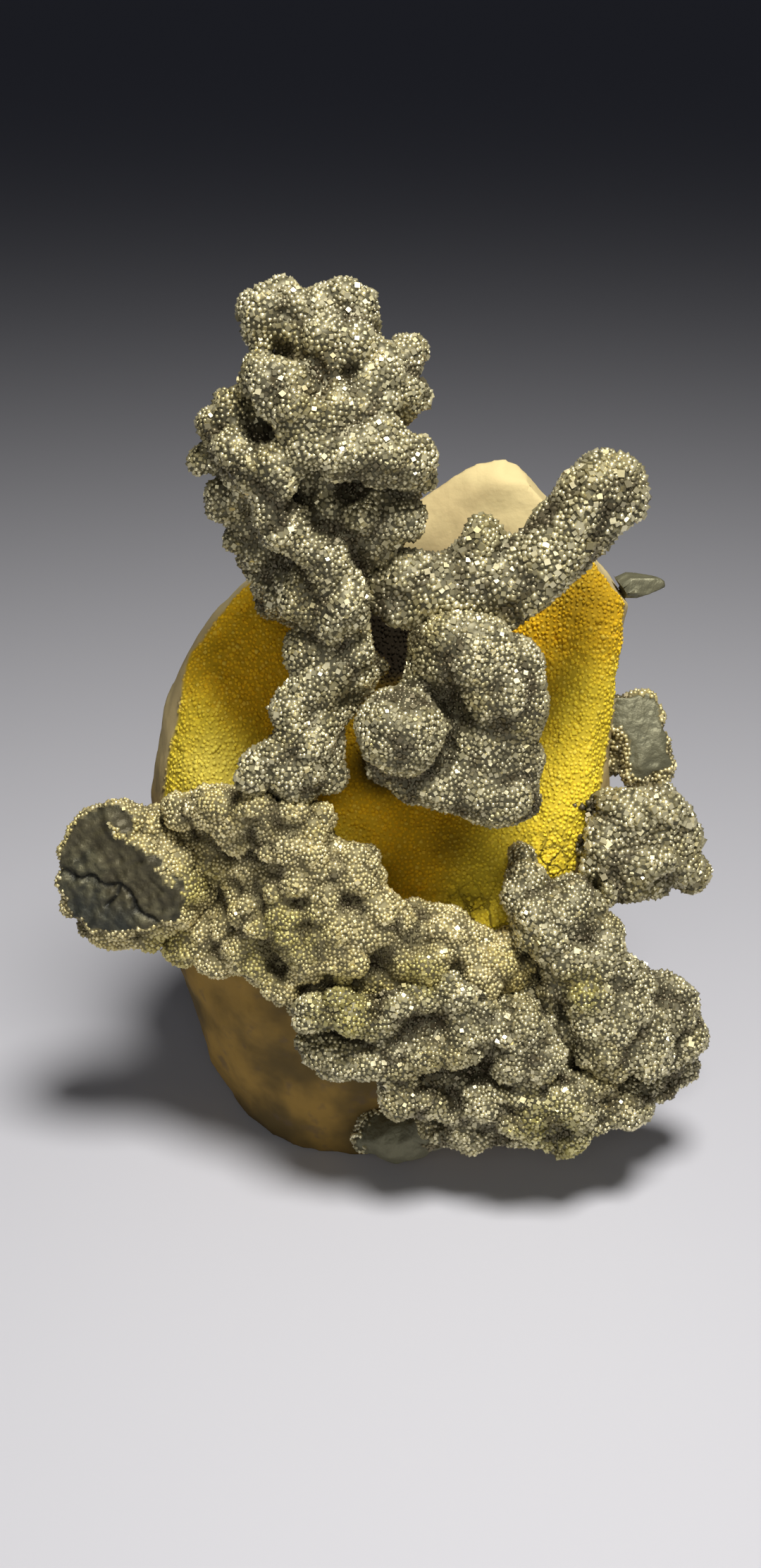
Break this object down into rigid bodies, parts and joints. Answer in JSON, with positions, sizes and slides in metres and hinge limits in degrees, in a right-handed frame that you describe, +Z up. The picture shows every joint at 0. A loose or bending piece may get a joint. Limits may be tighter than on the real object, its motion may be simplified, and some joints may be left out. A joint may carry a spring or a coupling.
{
  "type": "mineral hand specimen",
  "caption": "Hand specimen of pyrite: knobbly, sparkling lobes, a blunt stalactite finger and a crust, grown over the lip of a scooped yellow ochre stone.",
  "frame": {"origin": "under the middle of the bounding box, on the flat that the stone rests on", "axes": "+Z up along the specimen's height, -Y towards the show side, +X to the right as seen from the show side"},
  "size_m": [0.0634, 0.0408, 0.0877],
  "materials": {
    "ochre": "matt, powdery, granular",
    "pyrite": "metallic, finely crystalline"
  },
  "bodies": {
    "root": {"ochre_stone": "ochre", "pyrite_tower": "pyrite", "pyrite_finger": "pyrite", "pyrite_nodules": "pyrite", "pyrite_crust": "pyrite", "pyrite_ledges": "pyrite", "pyrite_right_clump": "pyrite", "pyrite_right_lobe": "pyrite", "pyrite_left_arm": "pyrite", "pyrite_side_plate": "pyrite", "pyrite_back_stub": "pyrite"}
  },
  "joints": []
}
